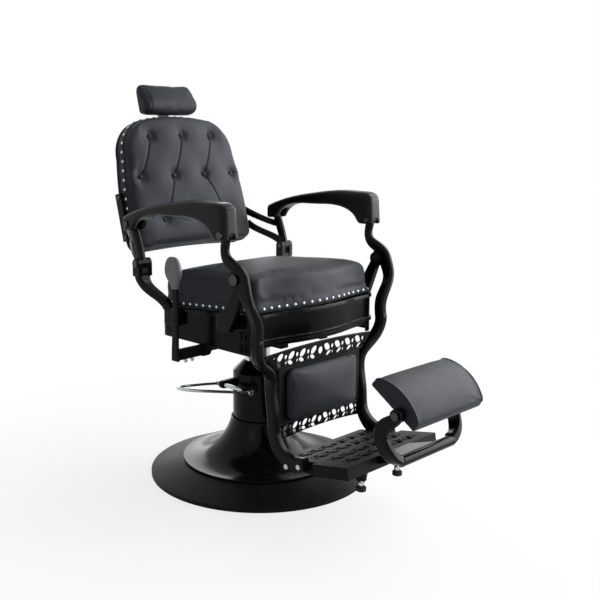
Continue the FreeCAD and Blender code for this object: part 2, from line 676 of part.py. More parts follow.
def arms():
    x0 = SIDE_X - ARM_W / 2
    fy, fz = ARM_FRONT
    ry, rz = ARM_REAR
    span = ry - fy

    def along(marks):
        return [V(x0, fy + t * span, fz + up) for t, up in marks]

    top = along(((1.05, 22), (0.745, 60), (0.54, 74), (0.25, 86), (0.1, 85), (-0.024, 73), (-0.036, 56)))
    under = along(((0.087, -8), (0.145, 18), (0.227, 32), (0.54, 36), (0.745, 32), (0.874, 14),
                   (0.945, -20)))
    front = [top[-1], V(x0, fy - 20, fz - 14), V(x0, fy + 29, fz - 14), under[0]]
    rear = [under[-1], V(x0, ry + 20, rz - 22), top[0]]
    edges = [spline(top), spline(under)]
    for side in (front, rear):
        edges += [Part.makeLine(a, b) for a, b in zip(side, side[1:])]
    body = Part.Face(chain(edges)).extrude(V(ARM_W, 0, 0))
    boxes = [(e, e.BoundBox) for e in body.Edges]
    crest = [e for e, b in boxes if b.XLength < 1 and b.YLength > 0.87 * span and b.ZMax > fz + 80]
    nose = [e for e, b in boxes if b.XLength < 1 and b.YMax < fy - 5 and b.ZLength > 40]
    body = body.makeFillet(13, crest + nose)
    post_x = POST_T / 2 + SIDE
    eye_x = EYE_W / 2 + SIDE
    sweep = EYE_R + 2
    cuts = [rod_x(sweep, SIDE_X - post_x, SIDE_X + post_x, ARM_FRONT),
            side_plate([(fy - 60, fz), (fy + 23, fz), (fy + 23, fz - 60), (fy - 60, fz - 60)],
                       SIDE_X - post_x, SIDE_X + post_x),
            rod_x(sweep, SIDE_X - eye_x, SIDE_X + eye_x, ARM_REAR),
            side_plate([(ry - 60, rz + 12), (ry, rz + 17), (ry + 22, rz), (ry + 22, rz - 60),
                        (ry - 60, rz - 60)], SIDE_X - eye_x, SIDE_X + eye_x)]
    bores = [rod_x(PIN_R, 200, 400, ARM_FRONT), rod_x(PIN_R, 200, 400, ARM_REAR)]
    both_sides("armrest", body.cut(cuts + bores))
    pins = []
    for at in (ARM_FRONT, ARM_REAR):
        shank = rod_x(PIN_R - RUN, SIDE_X - ARM_HOLD, SIDE_X + ARM_W / 2, at)
        pins.append(fuse([shank, rod_x(PIN_R + 3, SIDE_X + ARM_W / 2, SIDE_X + ARM_W / 2 + 3, at)]))
    both_sides("arm_pins", Part.makeCompound(pins))


LEG_IN = SHIN[0] - LEG_X
LEG_BEND = ((SHIN[0], 470), (SHIN[0] - 0.126 * LEG_IN, 444), (SHIN[0] - 0.432 * LEG_IN, 420),
            (LEG_X + 0.144 * LEG_IN, 394), (LEG_X, 362), (LEG_X, 300))


def beside_leg(z, gap):
    """Farthest x at this height that stays clear of the bend of the leg, seen from the front."""
    bend = Part.makePolygon([V(x, 0, at) for x, at in LEG_BEND])
    x = LEG_X - LEG_T
    while Part.Vertex(V(x + 1, 0, z)).distToShape(bend)[0] > LEG_T / 2 + gap:
        x += 1
    return x


def legs():
    y, z = KNEE_AXIS
    fy, fz = ARM_FRONT
    shin_x, shin_y = SHIN
    step = SIDE_X - shin_x
    thigh = [((SIDE_X, fy + 2, fz), POST_T, 20), ((SIDE_X, fy + 9, fz - 34), POST_T, 25),
             ((SIDE_X, fy + 2, fz - 64), POST_T, 29), ((SIDE_X, y - 2, z + 24), POST_T, 36),
             ((SIDE_X, y - 25, z - 16), POST_T, 42), ((SIDE_X - 0.06 * step, shin_y, z - 52), POST_T, 36),
             ((SIDE_X - 0.55 * step, shin_y - 2, z - 92), LEG_T - 3, LEG_D),
             ((shin_x, shin_y, z - 132), LEG_T, LEG_D), ((shin_x, shin_y, 503), LEG_T, LEG_D)]
    shin = [((shin_x, shin_y, 503), LEG_T, LEG_D)]
    for i, (x, at) in enumerate(LEG_BEND[:-1]):
        shin.append(((x, shin_y + (LEG_Y - shin_y) * i / 4, at), LEG_T, LEG_D))
    shin += [((LEG_X, LEG_Y - 6, LEG_BEND[-1][1]), LEG_T, LEG_D), ((LEG_X, LEG_Y - 12, 236), LEG_T, LEG_D),
             ((LEG_X, LEG_Y - 20, 202), LEG_T, 36), ((LEG_X, LEG_Y - 46, 172), LEG_T, 42),
             ((LEG_X, FOOT_Y + 30, FOOT_Z - 3), LEG_T, 42), ((LEG_X, FOOT_Y - 22, FOOT_Z + 6), LEG_T, 38)]
    half = POST_T / 2 + FACE
    hub = rod_x(KNEE_EYE_R, SIDE_X - half, SIDE_X + half, KNEE_AXIS)
    eye = rod_x(EYE_R, SIDE_X - half, SIDE_X + half, ARM_FRONT)
    bores = [rod_x(KNEE_PIN_R + RUN, 200, 400, KNEE_AXIS), rod_x(PIN_R + RUN, 200, 400, ARM_FRONT)]
    heads = []
    for at in ((FOOT_Y + 37, FOOT_Z - 12), (FOOT_Y - 8, FOOT_Z - 1)):
        heads.append(rod_x(7, LEG_X + LEG_T / 2, LEG_X + LEG_T / 2 + 5, at))
    both_sides("leg", fuse([limb(thigh), limb(shin), hub, eye]).cut(bores + heads))
    grouped("foot_bolts", heads)


def leaf(x, z, length, width, turn, y0, depth):
    """Pointed oval hole, turned in its panel."""
    tips = [V(-length / 2, 0, 0), V(length / 2, 0, 0)]
    rise = V(0, 0, width / 2)
    wire = Part.Wire([arc(tips[0], rise, tips[1]), arc(tips[1], -rise, tips[0])])
    hole = Part.Face(wire).extrude(V(0, depth, 0))
    hole.rotate(V(0, 0, 0), V(0, 1, 0), turn)
    hole.translate(V(x, y0, z))
    return hole


def lace(x_to, z, scale, y0, depth):
    """Mirrored run of leaves and rings along a panel, from its middle out."""
    holes = [rod_y(LACE_HOLE * scale, y0, y0 + depth, 0, z)]
    pitch = 46 * scale
    for i in range(int((x_to - 0.4 * pitch) / pitch)):
        for side in (-1, 1):
            x = side * (i + 0.62) * pitch
            far = side * (i + 1.12) * pitch
            low_x, low_z = x + side * 6 * scale, z - 13 * scale
            holes.append(leaf(x, z + 6 * scale, 33 * scale, 20 * scale, side * 32, y0, depth))
            holes.append(leaf(low_x, low_z, 27 * scale, 12 * scale, -side * 22, y0, depth))
            holes.append(rod_y(0.62 * LACE_HOLE * scale, y0, y0 + depth, far, z + 5 * scale))
            holes.append(rod_y(0.44 * LACE_HOLE * scale, y0, y0 + depth, far, z - 12 * scale))
    return holes


def front_panel(edges):
    return Part.Face(chain(edges)).extrude(V(0, PANEL_T, 0))


def rounded(at, half, low, high, r):
    """Rectangle with round corners, in the plane that at() places points on."""
    k = r * (1 - math.sqrt(0.5))
    edges = [Part.makeLine(at(r - half, low), at(half - r, low)),
             arc(at(half - r, low), at(half - k, low + k), at(half, low + r)),
             Part.makeLine(at(half, low + r), at(half, high - r)),
             arc(at(half, high - r), at(half - k, high - k), at(half - r, high)),
             Part.makeLine(at(half - r, high), at(r - half, high)),
             arc(at(r - half, high), at(k - half, high - k), at(-half, high - r)),
             Part.makeLine(at(-half, high - r), at(-half, low + r)),
             arc(at(-half, low + r), at(k - half, low + k), at(r - half, low))]
    return Part.Wire(edges)


def calf():
    y0 = LEG_Y - 14
    edge = LEG_X - LEG_T / 2 - 2 * GAP
    low = CALF_Z[1] + GAP
    high = 448

    def at(x, z):
        return V(x, y0, z)

    steps = [low + (high - low) * i / 4 for i in range(5)]
    flank = [(beside_leg(step, 6), step) for step in steps]
    right = [at(x, z) for x, z in flank]
    left = [at(-x, z) for x, z in flank]
    sides = [Part.makeLine(left[0], right[0]), arc(right[4], at(0, high + 9), left[4])]
    for line in (left, right):
        sides += [Part.makeLine(a, b) for a, b in zip(line, line[1:])]
    panel = front_panel(sides)
    middle = (low + high) / 2 + 4
    save("upper_lace", panel.cut(lace(beside_leg(middle, 6), middle, 1.0, y0 - 1, PANEL_T + 2)))

    low = 198
    high = CALF_Z[0] - GAP
    sides = [Part.makeLine(at(-edge, high), at(edge, high)), Part.makeLine(at(edge, high), at(edge, low)),
             arc(at(edge, low), at(0, low + 9), at(-edge, low)),
             Part.makeLine(at(-edge, low), at(-edge, high))]
    panel = front_panel(sides)
    save("lower_lace", panel.cut(lace(edge, (low + high) / 2 + 3, 0.86, y0 - 1, PANEL_T + 2)))

    wide = edge - 4
    save("calf_board", box(-wide, wide, y0, y0 + PANEL_T, *CALF_Z))
    z0, z1 = CALF_Z[0] + 2, CALF_Z[1] - 2
    outline = rounded(at, CALF_HALF, z0, z1, 22)
    pad = cushion(outline, V(0, y0, (z0 + z1) / 2), V(0, -1, 0), CALF_T, 14)
    save("calf_cushion", pad)


def lean_plate(shape):
    shape.rotate(V(0, 0, 0), V(1, 0, 0), -PLATE_TILT)
    shape.translate(V(0, *PLATE_AT))
    return shape


def foot_plate():
    narrow = LEG_X - LEG_T / 2 - 2 * GAP
    step = -142
    points = [(narrow, 0), (narrow, step), (PLATE_HALF, step), (PLATE_HALF, -PLATE_L),
              (-PLATE_HALF, -PLATE_L), (-PLATE_HALF, step), (-narrow, step), (-narrow, 0)]
    corners = [V(x, y, 0) for x, y in points]
    outer = Part.Face(Part.makePolygon(corners + corners[:1]))
    tray = outer.extrude(V(0, 0, -SKIRT))
    hollow = fuse([box(-narrow + 8, narrow - 8, step, -8, -SKIRT, -PLATE_T),
                   box(-PLATE_HALF + 8, PLATE_HALF - 8, -PLATE_L + 8, step - 8, -SKIRT, -PLATE_T),
                   box(-narrow + 8, narrow - 8, step - 9, step + 1, -SKIRT, -PLATE_T)])
    tray = tray.cut(hollow)
    holes = []
    for y in (-48, -104, -166, -220):
        for hole in lace(narrow - 6, 0, 1.0, 0, PLATE_T + 2):
            hole.rotate(V(0, 0, 0), V(1, 0, 0), 90)
            hole.translate(V(0, y, -PLATE_T - 1))
            holes.append(hole)
    tray = lean_plate(tray.cut(holes))
    bosses = []
    under = PLATE_AT[1] + math.tan(math.radians(PLATE_TILT)) * (PLATE_AT[0] - STOP_Y)
    for side in (-1, 1):
        bosses.append(rod_z(15, STOP_Z + 32, under - 6, side * STOP_X, STOP_Y))
    save("foot_plate", fuse([tray] + bosses))
    studs = []
    feet = []
    for side in (-1, 1):
        studs.append(fuse([rod_z(5, STOP_Z + 12, STOP_Z + 32, side * STOP_X, STOP_Y),
                           rod_z(9, STOP_Z + 18, STOP_Z + 25, side * STOP_X, STOP_Y)]))
        foot = rod_z(14, STOP_Z, STOP_Z + 12, side * STOP_X, STOP_Y)
        feet.append(foot.makeFillet(2, [e for e in foot.Edges if isinstance(e.Curve, Part.Circle)]))
    save("stop_studs", Part.makeCompound(studs))
    save("stop_feet", Part.makeCompound(feet))


def yoke():
    y, z = YOKE_AT
    end = 112
    face_y = PLATE_AT[0] - PLATE_L * math.cos(math.radians(PLATE_TILT))
    top_z = PLATE_AT[1] + PLATE_L * math.sin(math.radians(PLATE_TILT))
    root = face_y + 20
    web = side_plate([(root, top_z - 6), (y, z + 9), (y, z - 10), (root, top_z - SKIRT + 4)], -70, 70)
    web = web.cut(lean_plate(box(-300, 300, -PLATE_L, 10, -200, 200)))
    bar = rod_x(YOKE_R, -end, end, YOKE_AT)
    save("yoke_bar", fuse([web, bar]))
    x = PAD_HALF + 2 + PRONG_T / 2
    py, pz = PAD_AXIS
    prong = limb([((end - 16, y, z), 30, 28), ((end + 22, y + 5, z + 13), 26, 34),
                  ((x - 4, y + 20, z + 46), 20, 40), ((x, y + 26, z + 84), PRONG_T, 40),
                  ((x, py + 22, pz - 22), PRONG_T, 36), ((x, py, pz), PRONG_T, 32)])
    eye = rod_x(18, x - PRONG_T / 2, x + PRONG_T / 2, PAD_AXIS)
    bore = rod_x(PIN_R + RUN, 0, 400, PAD_AXIS)
    keep = box(end + GAP, x + PRONG_T / 2, y - 200, y + 200, z - 100, z + 300)
    both_sides("yoke_prong", fuse([prong, eye]).common(keep).cut(bore))


def lean_pad(shape):
    shape.rotate(V(0, 0, 0), V(1, 0, 0), PAD_SLOPE)
    shape.translate(V(0, *PAD_AXIS))
    return shape


def flip_pad():
    h = PAD_HALF
    board = box(-h, h, -PAD_FRONT, PAD_BACK, -PAD_BOARD_T / 2, PAD_BOARD_T / 2)
    socket = rod_x(PIN_R - 1, -h - 10, h + 10, (0, 0)).cut(box(-h + 40, h - 40, -20, 20, -20, 20))
    save("pad_board", lean_pad(board.cut(socket)))
    x = h + 2 + PRONG_T
    bolts = []
    for side in (-1, 1):
        a, b = sorted((side * (h - 39), side * (h + 1)))
        c, d = sorted((side * (h + 1), side * x))
        e, f = sorted((side * x, side * (x + 5)))
        bolts.append(lean_pad(fuse([rod_x(PIN_R - 1 - RUN, a, b, (0, 0)), rod_x(PIN_R, c, d, (0, 0)),
                                    rod_x(PIN_R + 4, e, f, (0, 0))])))
    save("pad_bolts", Part.makeCompound(bolts))
    z = PAD_BOARD_T / 2 + GAP / 3
    low, high = z + 0.3 * PAD_T, z + PAD_T
    middle = (PAD_BACK - PAD_FRONT) / 2
    back, front = V(0, PAD_BACK, z), V(0, -PAD_FRONT, z)
    rear_edge, front_edge = V(0, PAD_BACK - 1, low), V(0, 1 - PAD_FRONT, low)
    arch = Part.Wire([Part.makeLine(front, back), Part.makeLine(back, rear_edge),
                      arc(rear_edge, V(0, middle, high), front_edge), Part.makeLine(front_edge, front)])
    layers = [(-1.0, 0.88), (-0.99, 0.94), (-0.965, 0.975), (-0.92, 0.99), (-0.7, 1.0), (0.7, 1.0),
              (0.92, 0.99), (0.965, 0.975), (0.99, 0.94), (1.0, 0.88)]
    rolls = [scaled(arch, f, V(0, middle, z), V(x * h, 0, 0)) for x, f in layers]
    pad = Part.makeLoft(rolls, True, True)
    save("pad_cushion", lean_pad(pad))


base()
column()
foot_lever()
seat()
seat_arms()
recline_lever()
back()
headrest()
arms()
legs()
calf()
foot_plate()
yoke()
flip_pad()
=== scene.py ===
import json
import math

import bpy
import numpy as np
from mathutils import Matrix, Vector


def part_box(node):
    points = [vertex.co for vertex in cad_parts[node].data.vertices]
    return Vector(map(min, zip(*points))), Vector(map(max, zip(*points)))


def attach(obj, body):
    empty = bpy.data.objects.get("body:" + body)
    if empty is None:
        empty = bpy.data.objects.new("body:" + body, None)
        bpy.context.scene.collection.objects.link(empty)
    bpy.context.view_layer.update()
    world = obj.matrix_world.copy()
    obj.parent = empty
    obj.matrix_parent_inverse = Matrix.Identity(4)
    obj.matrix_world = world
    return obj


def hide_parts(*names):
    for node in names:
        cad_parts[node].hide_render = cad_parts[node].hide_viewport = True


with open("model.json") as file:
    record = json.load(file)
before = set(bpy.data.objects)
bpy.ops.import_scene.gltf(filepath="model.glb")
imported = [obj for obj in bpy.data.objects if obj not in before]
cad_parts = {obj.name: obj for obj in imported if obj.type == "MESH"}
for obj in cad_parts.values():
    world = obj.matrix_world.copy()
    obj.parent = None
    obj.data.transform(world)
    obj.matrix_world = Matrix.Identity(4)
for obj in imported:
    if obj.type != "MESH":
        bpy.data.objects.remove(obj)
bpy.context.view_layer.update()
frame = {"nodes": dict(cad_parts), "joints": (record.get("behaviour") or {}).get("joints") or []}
cad = frame["nodes"]
scene = bpy.context.scene
scene.view_settings.view_transform = "Standard"
bpy.ops.object.select_all(action="DESELECT")


# Studio: the chair stands on a wide pale floor under large soft boxes, seen from its front left.
# The floor and the sky show as plain white, and the floor keeps the soft shadow under the base.
def put(tree, kind, inputs, **settings):
    """Adds a shader node; inputs go by name or by order, and a socket among them is linked."""
    made = tree.nodes.new("ShaderNode" + kind)
    for key, value in settings.items():
        setattr(made, key, value)
    pairs = inputs.items() if isinstance(inputs, dict) else enumerate(inputs)
    for key, value in pairs:
        if isinstance(value, bpy.types.NodeSocket):
            tree.links.new(value, made.inputs[key])
        else:
            made.inputs[key].default_value = value
    return made


def seen_directly(tree):
    path = put(tree, "LightPath", {}).outputs
    shiny = put(tree, "Math", [path["Is Glossy Ray"], path["Is Transmission Ray"]], operation="MAXIMUM")
    return put(tree, "Math", [path["Is Camera Ray"], shiny.outputs[0]], operation="MAXIMUM").outputs[0]


aim = Vector((0, 0, 0.6))
swing = math.radians(-44.2)
rise = math.radians(9.66)
camera_distance = 2.69147
away = Vector((math.sin(swing) * math.cos(rise), -math.cos(swing) * math.cos(rise), math.sin(rise)))
bpy.ops.object.camera_add(location=aim + camera_distance * away, rotation=(math.pi / 2 - rise, 0, swing))
camera = bpy.context.object
camera.data.lens = 52.85
camera.data.sensor_width = 36
camera.data.shift_x = 0.0672
camera.data.shift_y = -0.0315
scene.camera = camera

# Each soft box has its name, its place and width in metres, and its power in watts.
soft_boxes = (
    ("key", (2.4, -2.2, 0.9), 2.2, 84),
    ("top", (2.2, -0.8, 1.9), 2.3, 90),
    ("side", (-2.9, -0.9, 1.7), 1.2, 4),
    ("rear", (1.6, 2.6, 1.2), 1.6, 26),
)
for label, place, width, power in soft_boxes:
    towards = (aim - Vector(place)).to_track_quat("-Z", "Y").to_euler()
    bpy.ops.object.light_add(type="AREA", location=place, rotation=towards)
    lamp = bpy.context.object
    lamp.name = "soft_box_" + label
    lamp.data.size = width
    lamp.data.energy = power

pure_white = (1, 1, 1, 1)
sky_fill = 0.16
world = bpy.data.worlds.new("studio")
world.use_nodes = True
scene.world = world
sky = world.node_tree
sky.nodes.clear()
lit = put(sky, "Background", {"Color": pure_white, "Strength": sky_fill})
plain = put(sky, "Background", {"Color": pure_white, "Strength": 1.0})
either = put(sky, "MixShader", [seen_directly(sky), lit.outputs[0], plain.outputs[0]])
put(sky, "OutputWorld", [either.outputs[0]])

floor_width = 40
floor_gap = 0.0005
shadow_start = 0.4
shadow_end = 1.3
white_in_shadow = 0.8
bpy.ops.mesh.primitive_plane_add(size=floor_width, location=(0, 0, -floor_gap))
floor = bpy.context.object
floor.name = "studio_floor"
paper = bpy.data.materials.new("studio_paper")
paper.use_nodes = True
tree = paper.node_tree
tree.nodes.clear()
matt = put(tree, "BsdfDiffuse", {"Color": (0.9, 0.9, 0.9, 1)})
white = put(tree, "Emission", {"Color": pure_white, "Strength": 1.0})
spot = put(tree, "TexCoord", {}).outputs["Object"]
spread = put(tree, "VectorMath", [spot], operation="LENGTH").outputs["Value"]
pale = put(tree, "MapRange", [spread, shadow_start, shadow_end, white_in_shadow, 1.0])
shown = put(tree, "MixShader", [pale.outputs[0], matt.outputs[0], white.outputs[0]])
either = put(tree, "MixShader", [seen_directly(tree), matt.outputs[0], shown.outputs[0]])
put(tree, "OutputMaterial", [either.outputs[0]])
floor.data.materials.append(paper)


# Floor base: a turned steel plate under a shallow spun dome, with the flared bell cover standing on it.
# Plate and dome are stove enamelled in satin black, and the bell in gloss black.
# Inside stand the machined socket of the pump and its bronze thrust washer.
def new_group(name, takes, gives):
    group = bpy.data.node_groups.new(name, "ShaderNodeTree")
    for label, value in takes:
        taken = group.interface.new_socket(label, in_out="INPUT", socket_type="NodeSocketFloat")
        taken.default_value = value
    for label, kind in gives:
        group.interface.new_socket(label, in_out="OUTPUT", socket_type="NodeSocket" + kind)
    return group, group.nodes.new("NodeGroupInput").outputs, group.nodes.new("NodeGroupOutput").inputs


def object_place(tree):
    return put(tree, "TexCoord", {}).outputs["Object"]


def noise(tree, place, scale, detail, roughness=0.5):
    values = {"Vector": place, "Scale": scale, "Detail": detail, "Roughness": roughness}
    return put(tree, "TexNoise", values).outputs


def ramp(tree, value, zero, one):
    """Stretches a value so that it is 0 at zero and 1 at one."""
    return put(tree, "MapRange", [value, zero, one, 0.0, 1.0]).outputs[0]


def grow(tree, value, low, high):
    """Runs from low to high as a value goes from 0 to 1."""
    return put(tree, "MapRange", [value, 0.0, 1.0, low, high]).outputs[0]


def times(tree, one, other):
    return put(tree, "Math", [one, other], operation="MULTIPLY").outputs[0]


stove_enamel, given, result = new_group(
    "stove_enamel", [("Peel Scale", 420.0)], [("Cloud", "Float"), ("Peel", "Float")])
tree = stove_enamel
place = object_place(tree)
cloud = noise(tree, place, scale=7.0, detail=5.0, roughness=0.62)[0]
tree.links.new(ramp(tree, cloud, zero=0.3, one=0.72), result["Cloud"])
peel = noise(tree, place, scale=given["Peel Scale"], detail=1.0)[0]
tree.links.new(peel, result["Peel"])

# The edge mask carries rubbed wear, and on the apron it also carries a painted highlight.
edge_rub_and_highlight, given, result = new_group(
    "edge_rub_and_highlight", [("Width", 0.0015)], [("Mask", "Float"), ("Normal", "Vector")])
tree = edge_rub_and_highlight
eased = put(tree, "Bevel", [given["Width"]], samples=6).outputs[0]
flat = put(tree, "NewGeometry", {}).outputs["Normal"]
same = put(tree, "VectorMath", [eased, flat], operation="DOT_PRODUCT").outputs["Value"]
edge = ramp(tree, same, zero=0.99, one=0.8)
patch = noise(tree, object_place(tree), scale=38.0, detail=4.0, roughness=0.7)[0]
tree.links.new(times(tree, edge, ramp(tree, patch, zero=0.42, one=0.68)), result["Mask"])
tree.links.new(eased, result["Normal"])

settled_dust, given, result = new_group("settled_dust", [("Amount", 0.5)], [("Mask", "Float")])
tree = settled_dust
coords = put(tree, "TexCoord", {}).outputs
up = ramp(tree, put(tree, "SeparateXYZ", [coords["Normal"]]).outputs["Z"], zero=0.5, one=1.0)
fine = noise(tree, coords["Object"], scale=55.0, detail=6.0, roughness=0.75)[0]
lying = times(tree, up, ramp(tree, fine, zero=0.42, one=0.75))
tree.links.new(times(tree, lying, given["Amount"]), result["Mask"])


def place_group(tree, group, **values):
    made = tree.nodes.new("ShaderNodeGroup")
    made.node_tree = group
    for key, value in values.items():
        made.inputs[key.replace("_", " ")].default_value = value
    return made.outputs


def new_finish(name, **constants):
    finish = bpy.data.materials.new(name)
    finish.use_nodes = True
    shader = finish.node_tree.nodes["Principled BSDF"]
    for key, value in constants.items():
        shader.inputs[key.replace("_", " ")].default_value = value
    return finish, finish.node_tree, shader.inputs


def tint(tree, factor, low, high):
    """Mixes two colours, each a triple or a socket."""
    low, high = ((*shade, 1) if isinstance(shade, tuple) else shade for shade in (low, high))
    return put(tree, "Mix", {0: factor, 6: low, 7: high}, data_type="RGBA").outputs[2]


def wire(tree, socket, colour, rough, bump):
    for label, source in (("Base Color", colour), ("Roughness", rough), ("Normal", bump)):
        tree.links.new(source, socket[label])


def enamel(name, low, high, rough, peel, dust, wear_and_highlight, ease, **constants):
    """A coat in two close shades, with orange peel, a little dust on top and eased edges in their own
    colour: rubbed wear, and a painted highlight where that colour is light.
    """
    dust_grey = (0.2, 0.19, 0.18)
    dust_rough = 0.5
    peel_depth = 0.0006
    finish, tree, socket = new_finish(name, **constants)
    skin = place_group(tree, stove_enamel)
    rub_and_highlight = place_group(tree, edge_rub_and_highlight, Width=ease)
    dusty = place_group(tree, settled_dust, Amount=dust)
    worn_and_highlit = tint(tree, rub_and_highlight["Mask"], tint(tree, skin["Cloud"], low, high), wear_and_highlight)
    colour = tint(tree, dusty["Mask"], worn_and_highlit, dust_grey)
    rough_skin = grow(tree, skin["Cloud"], *rough)
    rougher = put(tree, "Math", [dusty["Mask"], dust_rough, rough_skin], operation="MULTIPLY_ADD")
    bump = put(tree, "Bump", {"Strength": peel, "Distance": peel_depth, "Height": skin["Peel"],
                              "Normal": rub_and_highlight["Normal"]})
    wire(tree, socket, colour, rougher.outputs[0], bump.outputs[0])
    return finish


def dress(finish, *names):
    for name in names:
        cad[name].data.materials.clear()
        cad[name].data.materials.append(finish)


gloss_enamel = enamel("gloss_enamel", low=(0.002, 0.002, 0.0023), high=(0.005, 0.005, 0.0056),
                      rough=(0.12, 0.24), peel=0.08, dust=0.06, wear_and_highlight=(0.02, 0.02, 0.021), ease=0.003,
                      Specular_IOR_Level=0.09)
satin_enamel = enamel("satin_enamel", low=(0.005, 0.005, 0.0053), high=(0.009, 0.009, 0.0095),
                      rough=(0.4, 0.52), peel=0.2, dust=0.06, wear_and_highlight=(0.04, 0.04, 0.04), ease=0.002,
                      Specular_IOR_Level=0.07)

turned_steel, given, result = new_group(
    "turned_steel", [("Turns", 900.0)], [("Line", "Float"), ("Cloud", "Float")])
tree = turned_steel
place = object_place(tree)
split = put(tree, "SeparateXYZ", [place]).outputs
ring = put(tree, "CombineXYZ", [split["X"], split["Y"], 0.0]).outputs[0]
radius = put(tree, "VectorMath", [ring], operation="LENGTH").outputs["Value"]
reach = put(tree, "Math", [radius, split["Z"]], operation="ADD").outputs[0]
turn = times(tree, reach, given["Turns"])
line = put(tree, "TexNoise", {"W": turn, "Scale": 1.0, "Detail": 3.0}, noise_dimensions="1D").outputs[0]
tree.links.new(line, result["Line"])
tree.links.new(noise(tree, place, scale=16.0, detail=5.0)[0], result["Cloud"])


def bright_metal(name, low, high, rough, turns, bite):
    """Bare or plated metal with fine tool marks round the chair's axis and eased edges."""
    eased_edge = 0.0008
    mark_depth = 0.0003
    finish, tree, socket = new_finish(name, Metallic=1.0)
    marks = place_group(tree, turned_steel, Turns=turns)
    rub_and_highlight = place_group(tree, edge_rub_and_highlight, Width=eased_edge)
    bump = put(tree, "Bump", {"Strength": bite, "Distance": mark_depth, "Height": marks["Line"],
                              "Normal": rub_and_highlight["Normal"]})
    colour = tint(tree, marks["Cloud"], low, high)
    wire(tree, socket, colour, grow(tree, marks["Cloud"], *rough), bump.outputs[0])
    return finish


machined_steel = bright_metal("machined_steel", low=(0.36, 0.36, 0.37), high=(0.56, 0.56, 0.57),
                              rough=(0.24, 0.42), turns=900.0, bite=0.25)
bearing_bronze = bright_metal("bearing_bronze", low=(0.42, 0.25, 0.1), high=(0.62, 0.4, 0.18),
                              rough=(0.22, 0.4), turns=700.0, bite=0.2)

dress(satin_enamel, "base_plate", "base_dome")
dress(gloss_enamel, "bell_cover")
dress(machined_steel, "pump_socket")
dress(bearing_bronze, "thrust_washer")


# Pump column: a steel cylinder with a screwed gland, inside an enamelled shroud that turns with the seat.
# The lever bracket is welded to the shroud.
dress(gloss_enamel, "column_shroud")
dress(satin_enamel, "pump_cylinder", "lever_bracket")
dress(machined_steel, "ram_gland")


# Foot lever: one bent round rod, polished and chromium plated.
# It hangs on a pin in the lever bracket, and a foot on it works the pump.
chrome = bright_metal("chrome_plate", low=(0.42, 0.43, 0.44), high=(0.58, 0.59, 0.6),
                      rough=(0.08, 0.18), turns=300.0, bite=0.04)
dress(chrome, "foot_lever")


# Seat frame: the ram carries a welded spider inside a cast apron with beads and corner ribs.
# Knee brackets and gooseneck supports are black enamelled castings on dark steel pins.
# Bright steel nails hold the leather along the seat's border.
# The apron's light edge colour is a painted highlight along its beads and edges, laid over rubbed wear.
apron_enamel = enamel("apron_enamel", low=(0.002, 0.002, 0.0023), high=(0.005, 0.005, 0.0056),
                      rough=(0.1, 0.2), peel=0.06, dust=0.06, wear_and_highlight=(0.2, 0.2, 0.205), ease=0.002,
                      Specular_IOR_Level=0.06)
dark_steel = bright_metal("dark_steel", low=(0.03, 0.03, 0.031), high=(0.07, 0.07, 0.072),
                          rough=(0.2, 0.32), turns=700.0, bite=0.2)
dress(machined_steel, "ram", "seat_nails")
dress(satin_enamel, "seat_spider", "shaft_hanger")
dress(apron_enamel, "apron")
dress(gloss_enamel, "knee_bracket_left", "knee_bracket_right", "back_support_left", "back_support_right")
dress(dark_steel, "knee_pins", "back_pins")


# Seat cushion: black grained leather drawn over foam and a wooden border, and nailed along the border.
# The cover is blown up from the drawn form, held along the border where the nails are.
leather_grain, given, result = new_group(
    "leather_grain", [("Pebble", 420.0)], [("Height", "Float"), ("Tone", "Float"), ("Sheen", "Float")])
tree = leather_grain
wander_by = (0.004, 0.004, 0.004)
wrinkle_share = 1.1
place = object_place(tree)
wander = noise(tree, place, scale=90.0, detail=2.0)["Color"]
shift = put(tree, "VectorMath", [wander, wander_by], operation="MULTIPLY").outputs[0]
shifted = put(tree, "VectorMath", [place, shift], operation="ADD").outputs[0]
cell = put(tree, "TexVoronoi", {"Vector": shifted, "Scale": given["Pebble"]}, feature="DISTANCE_TO_EDGE")
pebble = ramp(tree, cell.outputs[0], zero=0.0, one=0.22)
wrinkle = noise(tree, place, scale=65.0, detail=5.0, roughness=0.65)[0]
height = put(tree, "Math", [wrinkle, wrinkle_share, pebble], operation="MULTIPLY_ADD").outputs[0]
tree.links.new(height, result["Height"])
tone = noise(tree, place, scale=9.0, detail=4.0, roughness=0.6)[0]
tree.links.new(ramp(tree, tone, zero=0.3, one=0.7), result["Tone"])
tree.links.new(noise(tree, place, scale=22.0, detail=6.0, roughness=0.7)[0], result["Sheen"])


def hide(name, low, high, rough, **constants):
    """Pebbled leather in two close shades, with a handled sheen and a trace of dust."""
    dust_grey = (0.2, 0.19, 0.19)
    dust_trace = 0.12
    grain_depth = 0.0005
    grain_strength = 0.35
    finish, tree, socket = new_finish(name, **constants)
    skin = place_group(tree, leather_grain)
    dusty = place_group(tree, settled_dust, Amount=dust_trace)
    colour = tint(tree, dusty["Mask"], tint(tree, skin["Tone"], low, high), dust_grey)
    bump = put(tree, "Bump", {"Strength": grain_strength, "Distance": grain_depth, "Height": skin["Height"]})
    wire(tree, socket, colour, grow(tree, skin["Sheen"], *rough), bump.outputs[0])
    return finish


black_leather = hide("black_leather", low=(0.013, 0.014, 0.0175), high=(0.021, 0.0225, 0.0275),
                     rough=(0.44, 0.56), Specular_IOR_Level=0.19, Specular_Tint=(0.8, 0.87, 1.0, 1))
weld_gap = 0.00002


def points(piece, what="co"):
    values = np.empty(3 * len(piece.data.vertices))
    piece.data.vertices.foreach_get(what, values)
    return values.reshape(-1, 3)


def normals(piece):
    return points(piece, "normal")


def move_points(piece, co):
    piece.data.vertices.foreach_set("co", np.ascontiguousarray(co).ravel())
    piece.data.update()


